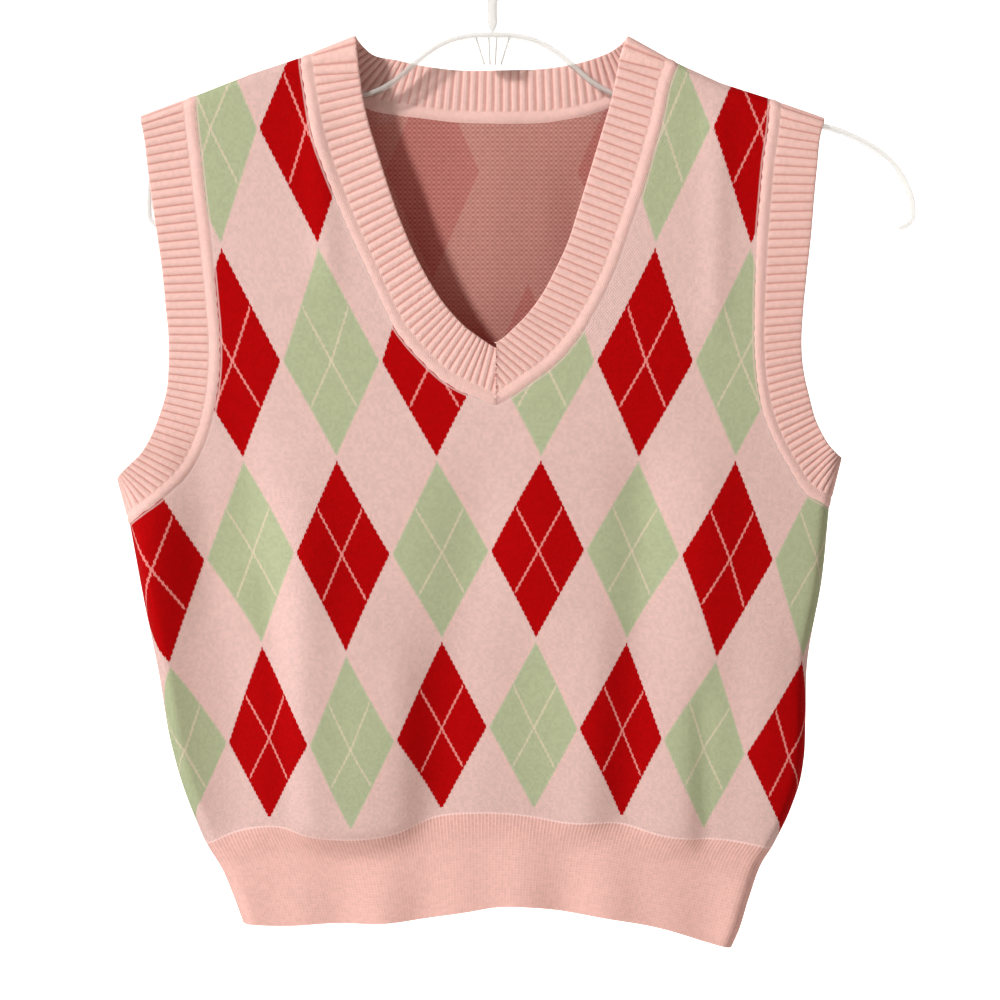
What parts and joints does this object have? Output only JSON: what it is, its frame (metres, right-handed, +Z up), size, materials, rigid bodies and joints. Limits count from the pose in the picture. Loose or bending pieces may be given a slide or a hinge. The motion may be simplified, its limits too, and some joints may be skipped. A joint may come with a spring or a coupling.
{
  "type": "knitted sweater vest on a clear hanger",
  "caption": "Sleeveless V-neck sweater vest in argyle knit with ribbed neck, armholes and hem, hanging on a clear moulded top hanger.",
  "frame": {"origin": "inner top of the hanger's hook, where the rail that carries it lies", "axes": "+Z up, -Y the way the vest's front faces, +X to the right for someone looking at the front"},
  "size_m": [0.4506, 0.0511, 0.6064],
  "materials": {
    "knit_body": "soft jacquard knit, heathered pink with an argyle pattern",
    "knit_hem": "fine one-by-one rib, heathered pink",
    "knit_rib": "wide rounded rib, heathered pink",
    "clear_plastic": "clear polished moulding"
  },
  "bodies": {
    "root": {"front_panel": "knit_body", "back_panel": "knit_body", "hem_front": "knit_hem", "hem_back": "knit_hem", "neckband": "knit_rib", "armband_left": "knit_rib", "armband_right": "knit_rib", "hanger_arms": "clear_plastic", "hanger_hook": "clear_plastic"}
  },
  "joints": []
}
